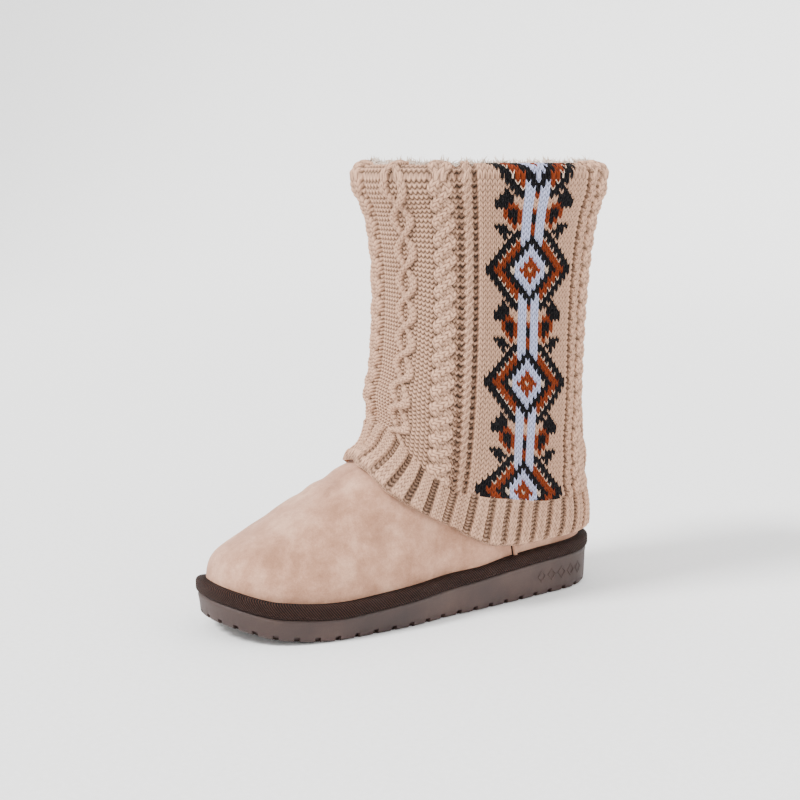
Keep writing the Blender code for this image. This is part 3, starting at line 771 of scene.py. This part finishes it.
def purl_face(w, r):
    """The back of plain knitting: a row of arcs across each course. Gives 0 to 1."""
    wave = r + 0.20 * np.cos(2 * np.pi * w)
    return (0.5 - 0.5 * np.cos(2 * np.pi * wave)) ** 0.8 * (0.75 + 0.25 * np.cos(2 * np.pi * w))


# Cables: the middle's stitch, how far the two strands swing from it, half of a strand's width, the courses from one
# crossing to the next, the course of a crossing, and the height. The front, side and back ropes come first, then
# the open lozenge cables, then the braids beside the panels
CABLES = [
    (-4.5, 1.25, 1.45, 4.6, 0.0, 0.0036), (17.0, 1.15, 1.50, 3.4, 1.0, 0.0036),
    (54.6, 1.15, 1.50, 3.4, 1.0, 0.0036), (7.4, 2.05, 0.92, 6.7, 5.4, 0.0034),
    (67.5, 2.05, 0.92, 6.7, 5.4, 0.0034), (22.4, 0.50, 0.62, 1.5, 0.0, 0.0032),
    (49.8, 0.50, 0.62, 1.5, 0.0, 0.0032),
]
# Eyelets of the ladders: the column's stitch, its half width and the courses between them
LADDERS = [
    (20.6, 0.75, 1.9), (24.0, 0.45, 1.9), (48.3, 0.5, 1.9), (51.4, 0.75, 1.9), (-7.7, 0.5, 1.9), (-1.3, 0.5, 1.9),
]
PURL_DEPTH = 0.0012
STITCH_DEPTH = 0.0010


def mirrored(w):
    """The stitch's place in the leg's outer half, which the inner half repeats, and which way it counts."""
    w = w % WALES
    way = np.where(w > 67.5, -1, 1)
    w = np.where(w > 67.5, (-9 - w) % WALES, w)
    return np.where(w > 100, w - WALES, w), way


def kinds_at(w, r):
    """All that is knitted near here: for each kind its height, its own stitch and course, and whether it shows
    knit faces (1) or purl faces (0)."""
    panel = smooth_step((w - 24.3) / 0.4) * smooth_step((48.0 - w) / 0.4)
    kinds = [(0.0 + 0 * (w + r), w + 0 * r, r + 0 * w, 0)]
    for middle, swing, half, pitch, start, high in CABLES:
        for half_turn in (0, np.pi):
            phase = np.pi * (r - start) / pitch + half_turn
            across = (w - middle + swing * np.cos(phase)) / half
            ridge = np.maximum(1 - across ** 2, 0) ** 0.5 * (0.70 + 0.16 * np.sin(phase))
            kinds.append((np.where(np.abs(across) < 1, high * ridge, -1.0), across, r + 0.25 * across, 1))
    kinds.append((np.where(panel > 0.5, 0.0010, -1.0) + 0 * r, w + 0 * r, r + 0 * w, 1))
    return kinds


def relief(w, r):
    """The knit's own height above its ground, in metres, for stitch w round the leg and course r."""
    w, _ = mirrored(w)
    height = -1.0 + 0 * (w + r)
    for form, across, up, knit in kinds_at(w, r):
        loops = STITCH_DEPTH * knit_face(across, up) if knit else PURL_DEPTH * purl_face(across, up)
        height = np.maximum(height, form + loops)
    for middle, half, pitch in LADDERS:
        eye = np.maximum(1 - ((w - middle) / half) ** 2, 0) ** 0.5
        height = height - 0.0024 * eye * (0.25 + 0.75 * (0.5 + 0.5 * np.cos(2 * np.pi * r / pitch)))
    return height


def rib_place(walk, r):
    """Where in a rib this is, from 0 in one valley to 1 in the next. The ribs' tops lean back."""
    walk = walk - RIB_LEAN * (1 + r / RIB_COURSES)
    ahead = (np.minimum(walk, RIB_CHANGE) - RIB_START) / RIB_PITCH
    return (ahead + np.maximum(walk - RIB_CHANGE, 0) / RIB_PITCH_BACK) % 1


def rib_relief(walk, r):
    """Ribs of three knit stitches with purled valleys, and the cast-on edge's beads."""
    x = rib_place(walk, r)
    crest = smooth_step((np.minimum(x, 1 - x) - 0.14) / 0.09)
    high = 0.0013 + STITCH_DEPTH * knit_face((x - 0.2) / 0.6 * 3, r)
    low = -0.0009 + PURL_DEPTH * purl_face(x * 4, r * 1.3)
    edge = np.clip((-r - RIB_COURSES + 1.0) / 1.0, 0, 1)
    beads = 0.0007 * edge * np.abs(np.sin(np.pi * x * 5))
    return (high * crest + low * (1 - crest)) * (1 - 0.7 * edge) + beads - 0.0012 * edge ** 3


blend = smooth_step(course / 1.0 + 0.5)[:, None]
fine = relief(wale[None, :], course[:, None]) * blend + rib_relief(hem_walk, course[:, None]) * (1 - blend)
slack = 0 * fine
length_round = np.interp(stitch_angle, angle, walked)
for start, level, depth, half_width, half_height in FOLDS:
    away = (length_round - start + walked[-1] / 2) % walked[-1] - walked[-1] / 2
    slack += depth * np.exp(-(away / half_width) ** 2 - ((height - level) / half_height) ** 2)
outer = skin + skin_way * (clear + wall - CREST + fine + slack)[..., None]

# Over the fold and down inside the collar
arch_rows = 20
inner_rows = 20
low_top, low_way = skin[-1], skin_way[-1].copy()
low_way[:, 2] = 0
low_way /= np.linalg.norm(low_way, axis=1)[:, None]
out_reach = (clear + wall - CREST)[-1]
in_reach = UPPER_WALL + KNIT_GAP + TURN_WALL - 0.001
fold = []
for i in range(1, arch_rows + 1):
    a = np.pi * i / arch_rows
    reach = (out_reach - in_reach) / 2 + (out_reach + in_reach) / 2 * np.cos(a)
    lift = (FOLD_RISE + KNIT_GAP - 0.001) * np.sin(a)
    bulge = relief(wale, FIELD_COURSES + i / POINTS_PER_COURSE)
    point = low_top + low_way * (reach + bulge * np.cos(a))[:, None]
    point[:, 2] += lift + bulge * np.sin(a)
    fold.append(point)
for i in range(1, inner_rows + 1):
    bulge = relief(wale, FIELD_COURSES + (arch_rows + i) / POINTS_PER_COURSE)
    point = low_top - low_way * (in_reach + bulge * 0.6)[:, None]
    point[:, 2] -= (TURN_DOWN - 0.001) * i / inner_rows
    fold.append(point)
fold = np.array(fold)

# Yarn colours. Rows count from a diamond's middle and stitches from the panel's middle. This chart holds what lies
# between the diamonds, by row: each letter is a stitch and its mirror, from the middle out
BEIGE, NAVY, RUST, LAVENDER, CREAM = range(5)
REPEAT = 21
PATTERN_START = 1
PANEL_MIDDLES = (36, 98)
CHART_ROWS = {
    15: ".LL...N....",
    14: ".LL..NNN...",
    13: ".LL..NNNN..",
    12: ".LL.RRNNN..",
    11: "RLLRNNR....",
    10: "NLLRNNR....",
    9: "NLLRNR.....",
    8: "RLL.R.NNN..",
    7: ".LL..NNN...",
    6: ".LL...N....",
}
rows = [CHART_ROWS.get(row, ".LL........") for row in range(REPEAT)]
CHART = np.array([[".NRLC".index(row[abs(x)]) for x in range(-10, 11)] for row in rows])
# The diamonds' bands from the middle out, in stitches, and their yarns
BAND_EDGES = np.array([0.35, 2.55, 4.5, 6.4, 8.55, 8.85, 10.9])
BAND_YARNS = np.array([CREAM, RUST, LAVENDER, NAVY, RUST, CREAM, NAVY, BEIGE])
DIAMOND_ROWS = 7


def yarn_at(w, r):
    """The yarn at stitch w and course r. The stitches' own V shapes bound the colours."""
    level = r - 0.7 * np.abs(w % 1 - 0.5) * 2 + 0.35
    in_repeat = (np.floor(level).astype(int) - PATTERN_START) % REPEAT
    from_diamond = np.minimum(in_repeat, REPEAT - in_repeat)
    exact = np.abs((level - PATTERN_START - 0.5 + REPEAT / 2) % REPEAT - REPEAT / 2)
    yarn = np.zeros(np.broadcast(w, r).shape, int)
    for middle in PANEL_MIDDLES:
        stitch = np.floor(w).astype(int) - middle
        x = np.abs(stitch)
        found = CHART[in_repeat, np.clip(stitch + 10, 0, 20)]
        band = BAND_YARNS[np.searchsorted(BAND_EDGES, x + exact)]
        band = np.where((band == CREAM) & (exact < 1.6) & (x > 6), NAVY, band)
        band = np.where((band == LAVENDER) & (exact < 1.0) & (x > 3), CREAM, band)
        band = np.where((band == BEIGE) & (found == NAVY) & (x > 4), NAVY, band)
        stripe = (x > 0) & (x <= 2) & (x + from_diamond >= DIAMOND_ROWS)
        found = np.where((from_diamond <= DIAMOND_ROWS) & ~stripe, band, found)
        yarn = np.where((x <= 10) & (r >= 0), found, yarn)
    return yarn


# Wool and acrylic yarn: matt, soft, fuzzy. Each stitch is a little lighter or darker at random, and painted shade
# makes the yarn darker down in the knit
knit_yarn, tree, shader, place = new_finish("wool_yarn")
colour = add_node(tree, "Attribute", {"attribute_name": "yarn"}).outputs["Color"]
fibre = add_node(tree, "TexNoise", Vector=place, Scale=1500.0, Detail=3.0).outputs["Fac"]
shade = add_node(tree, "MapRange", Value=fibre, From_Min=0.3, From_Max=0.7, To_Min=0.86, To_Max=1.10).outputs[0]
# Each stitch's two legs, and a purl face's arcs, from the stitch and course kept in the attribute. Each step
# has its name, its operation and what goes in
own = add_node(tree, "Attribute", {"attribute_name": "stitch"}).outputs["Vector"]
own = add_node(tree, "SeparateXYZ", Vector=own).outputs
step_of = {"stitch": own[0], "course": own[1]}
for name, operation, *values in [
    ("part", "FRACT", "stitch"), ("off", "SUBTRACT", "part", 0.5), ("side", "ABSOLUTE", "off"),
    ("from_middle", "MULTIPLY", "side", 2.0), ("lean", "MULTIPLY_ADD", "from_middle", -0.7, "course"),
    ("lean_turn", "MULTIPLY", "lean", math.pi), ("wave", "SINE", "lean_turn"), ("leg", "ABSOLUTE", "wave"),
    ("leg_shape", "POWER", "leg", 0.6), ("across", "MULTIPLY", "from_middle", math.pi), ("hump", "SINE", "across"),
    ("groove", "MULTIPLY_ADD", "hump", 0.5, 0.5), ("vee", "MULTIPLY", "leg_shape", "groove"),
    ("turn", "MULTIPLY", "stitch", 2 * math.pi), ("ripple", "COSINE", "turn"),
    ("bow", "MULTIPLY_ADD", "ripple", 0.2, "course"), ("bow_turn", "MULTIPLY", "bow", 2 * math.pi),
    ("bow_wave", "COSINE", "bow_turn"), ("arc", "MULTIPLY_ADD", "bow_wave", -0.5, 0.5),
    ("arc_shape", "POWER", "arc", 0.7), ("fade", "MULTIPLY_ADD", "ripple", 0.25, 0.75),
    ("purl", "MULTIPLY", "arc_shape", "fade"),
]:
    given = {"_%d" % i: step_of.get(value, value) for i, value in enumerate(values)}
    step_of[name] = add_node(tree, "Math", {"operation": operation}, **given).outputs[0]
loops = add_node(tree, "Mix", {"data_type": "FLOAT"}, _0=own[2], _2=step_of["purl"], _3=step_of["vee"]).outputs[0]
# Painted shade: the colour darkens down between the loops and is a little lighter on their tops
depth = add_node(tree, "MapRange", Value=loops, From_Min=0.05, From_Max=0.70, To_Min=0.36, To_Max=1.08).outputs[0]
for layer in (shade, depth):
    mixed = add_node(tree, "Mix", {"data_type": "RGBA", "blend_type": "MULTIPLY"}, _0=1.0, _6=colour, _7=layer)
    colour = mixed.outputs[2]
bump = add_node(tree, "Bump", Strength=0.8, Distance=0.0006, Height=loops)
bump = add_node(tree, "Bump", Strength=0.5, Distance=0.0002, Height=fibre, Normal=bump.outputs[0])
dress(shader, colour, bump, Roughness=0.95, Sheen_Weight=0.04, Specular_IOR_Level=0.15, Sheen_Roughness=0.6,
      Sheen_Tint=linear("#FFF0E4"))

YARN_COLOURS = np.array([linear(c) for c in ("#C69C81", "#030309", "#7C2F0C", "#B8BCDC", "#D8BCA6")])


def hollow_shade(depth):
    """Painted shade: how much of its colour the yarn shows at each point, less where it lies lower than what is
    around it.
    """
    around = sum(np.roll(depth, k, 1) for k in range(-5, 6)) / 11
    padded = np.pad(around, ((4, 4), (0, 0)), mode="edge")
    around = sum(padded[k:k + len(depth)] for k in range(9)) / 9
    local = smooth_step(0.62 + (depth - around) / 0.0026)
    return 0.30 + 0.74 * local


def own_stitches(w, r):
    """For the four corners of each face round these middles: its own stitch, its own course, and knit or purl."""
    place, way = mirrored(w)
    chosen = np.argmax(np.stack([kind[0] for kind in kinds_at(place, r)]), 0)
    corners = []
    for right, up in [(-1, -1), (1, -1), (1, 1), (-1, 1)]:
        r_here = r + up * 0.5 / POINTS_PER_COURSE
        found = kinds_at(place + way * right * 0.5 / POINTS_PER_WALE, r_here)
        corner = [np.choose(chosen, [kind[i] + 0 * chosen for kind in found]) for i in (1, 2, 3)]
        column_here = (np.arange(columns_round) + (right + 1) // 2)
        walk = np.append(hem_walk, hem_walk[-1])[column_here]
        x = rib_place(walk[None, :] + 0 * r_here, r_here)
        middle = rib_place((hem_walk + walk)[None, :] / 2 + 0 * r_here, r_here)
        x = np.where(x - middle > 0.5, x - 1, np.where(middle - x > 0.5, x + 1, x))
        on_crest = np.minimum(middle, 1 - middle) > 0.185
        rib = [np.where(on_crest, (x - 0.2) / 0.6 * 3, x * 4), np.where(on_crest, r_here, r_here * 1.3),
               on_crest * 1.0]
        corners.append(np.stack([np.where(r < 0, a, b) for a, b in zip(rib, corner)], -1))
    return np.stack(corners, 2)


def knitted(name, rows, backs, courses, depth):
    """A closed ring of knitting between rows of points and the rows behind them, coloured by the chart, with
    painted shade where the knit lies low.
    """
    outside = ring_faces(columns_round, len(rows) + len(backs), closed=True)
    piece = piece_from(name, np.concatenate([rows, backs[::-1]]).reshape(-1, 3), [outside], knit_yarn, sharp=75)
    middle_wale = (np.arange(columns_round) + 0.5) / POINTS_PER_WALE
    middle_course = np.asarray(courses)[:-1] + 0.5 / POINTS_PER_COURSE
    own = own_stitches(middle_wale[None, :], middle_course[:, None])
    yarn = yarn_at(middle_wale[None, :], middle_course[:, None])
    tint = YARN_COLOURS[yarn]
    stitch = np.floor(middle_wale).astype(int)[None, :] * 977 + np.floor(middle_course).astype(int)[:, None] * 131
    tint = tint * (0.95 + 0.10 * ((stitch * 2654435761 % 1000) / 1000))[..., None]
    # Painted shade: the yarn's colour is darkened where it lies lower than the knit around it
    tint = tint * hollow_shade(depth)[:-1, :, None]
    tint[..., 3] = 1
    rest = np.tile(YARN_COLOURS[BEIGE], (len(outside) - tint.shape[0] * tint.shape[1], 1))
    faces = np.concatenate([tint.reshape(-1, 4), rest])
    corners = np.repeat(faces, 4, axis=0).astype(np.float32)
    layer = piece.data.color_attributes.new("yarn", "FLOAT_COLOR", "CORNER")
    layer.data.foreach_set("color", corners.ravel())
    own = np.concatenate([own.reshape(-1, 3), np.zeros((4 * len(outside) - own.size // 3, 3))]).astype(np.float32)
    piece.data.attributes.new("stitch", "FLOAT_VECTOR", "CORNER").data.foreach_set("vector", own.ravel())
    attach(piece, "root")
    return piece


back = skin + skin_way * clear[..., None]
rib_end = len(rib_rows)
cuts = [0, rib_end, rib_end + 83, rib_end + 166, len(course) - 1]
names = ["knit_hem_ribs", "knit_leg_low", "knit_leg_middle", "knit_leg_high"]
for name, first, last in zip(names, cuts, cuts[1:]):
    behind = back[np.unique(np.linspace(first, last, 8).astype(int))]
    knitted(name, outer[first:last + 1], behind, course[first:last + 1], fine[first:last + 1])
fold_rows = np.concatenate([outer[-1:], fold])
fold_course = FIELD_COURSES + np.arange(len(fold_rows)) / POINTS_PER_COURSE
fold_back = [low_top + low_way * clear[-1][:, None], low_top + low_way * clear[-1][:, None] + [0, 0, KNIT_GAP],
             low_top - low_way * (UPPER_WALL + KNIT_GAP) + [0, 0, KNIT_GAP],
             low_top - low_way * (UPPER_WALL + KNIT_GAP) - [0, 0, TURN_DOWN - 0.001]]
fold_depth = np.array([relief(wale, c) for c in fold_course])
knitted("knit_fold", fold_rows, np.array(fold_back), fold_course, fold_depth)
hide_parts("knit_leg")

# The pile stands out inside the turned-down edge and above it
rim = fold[arch_rows // 2 + 1:]
roots, ways = scattered(rim[::-1], COLLAR_LOCKS)
ways = np.stack([0 * ways[:, 0], 0 * ways[:, 1], 0 * ways[:, 2] + 0.9], 1)
centre_way = np.stack([-roots[:, 0], -(roots[:, 1] - (HEEL_CENTRE - SHAFT_CENTRE)), 0 * roots[:, 0]], 1)
centre_way /= np.linalg.norm(centre_way, axis=1)[:, None]
ways = ways + centre_way * 0.7 + dice.normal(0, 0.5, ways.shape)
fur("collar_pile", roots, ways, LOCK_LENGTH * dice.uniform(0.45, 1.0, COLLAR_LOCKS), fleece)

# ----------------------------------------------------------------------
# Studio: a pale floor that sweeps out of view, soft light from above and both sides, and the camera.
paper, tree, shader, place = new_finish("studio_paper")
grain = add_node(tree, "TexNoise", Vector=place, Scale=300.0, Detail=2.0).outputs["Fac"]
tones = ramp_stops(add_node(tree, "ValToRGB", Fac=grain), [(0.3, linear("#F4F4F3")), (0.7, linear("#FAFAFA"))])
dress(shader, tones, Roughness=0.9)
# The paper lies flat for 2 m round and then sweeps up
SWEEP_START = 2.0
SWEEP_ROUND = 1.2
sweep = [(0.02, 0.0), (1.0, 0.0), (SWEEP_START, 0.0)]
for a in np.radians(range(6, 91, 6)):
    sweep.append((SWEEP_START + SWEEP_ROUND * math.sin(a), SWEEP_ROUND - SWEEP_ROUND * math.cos(a)))
sweep += [(3.2, 1.7), (3.2, 2.2)]
turn = 2 * np.pi * np.arange(96) / 96
rings = [np.column_stack([r * np.cos(turn), r * np.sin(turn), 0 * turn + z - 0.0002]) for r, z in sweep]
faces = [ring_faces(96, len(rings))[:, ::-1], np.arange(96)[None]]
floor = piece_from("studio_floor", np.concatenate(rings), faces, paper)

world = bpy.data.worlds.new("studio")
bpy.context.scene.world = world
world.use_nodes = True
world.node_tree.nodes["Background"].inputs["Color"].default_value = (1, 1, 1, 1)
world.node_tree.nodes["Background"].inputs["Strength"].default_value = 1.5


def soft_light(name, kind, place, target, size, power):
    """A lamp at a place, turned to its target. Size is an area's side, or a sun's apparent width in degrees."""
    bpy.ops.object.light_add(type=kind, location=place)
    light = bpy.context.object
    light.name = name
    if kind == "SUN":
        light.data.angle = math.radians(size)
    else:
        light.data.size = size
    light.data.energy = power
    way = np.array(target) - np.array(place)
    tilt = math.atan2(math.hypot(way[0], way[1]), -way[2])
    light.rotation_euler = (tilt, 0, math.atan2(way[1], way[0]) - math.pi / 2)


soft_light("key_softbox", "SUN", (-0.15, -1.5, 1.7), (0, -0.05, 0.1), 16, 5.0)
soft_light("side_softbox", "AREA", (1.5, 0.6, 0.9), (0, -0.05, 0.12), 1.0, 6)

CAMERA_AZIMUTH = math.radians(56.469)
CAMERA_ELEVATION = math.radians(9.199)
CAMERA_DISTANCE = 0.93315
LOOKED_AT = np.array([0.0, -0.060, 0.125])
away = np.array([math.sin(CAMERA_AZIMUTH) * math.cos(CAMERA_ELEVATION),
                 -math.cos(CAMERA_AZIMUTH) * math.cos(CAMERA_ELEVATION), math.sin(CAMERA_ELEVATION)])
bpy.ops.object.camera_add(location=LOOKED_AT + away * CAMERA_DISTANCE,
                          rotation=(math.pi / 2 - CAMERA_ELEVATION, 0, CAMERA_AZIMUTH))
camera = bpy.context.object
camera.data.lens = 66.2
camera.data.sensor_width = 36
camera.data.shift_x = -0.0704
camera.data.shift_y = 0.0012
camera.data.clip_start = 0.05
bpy.context.scene.camera = camera
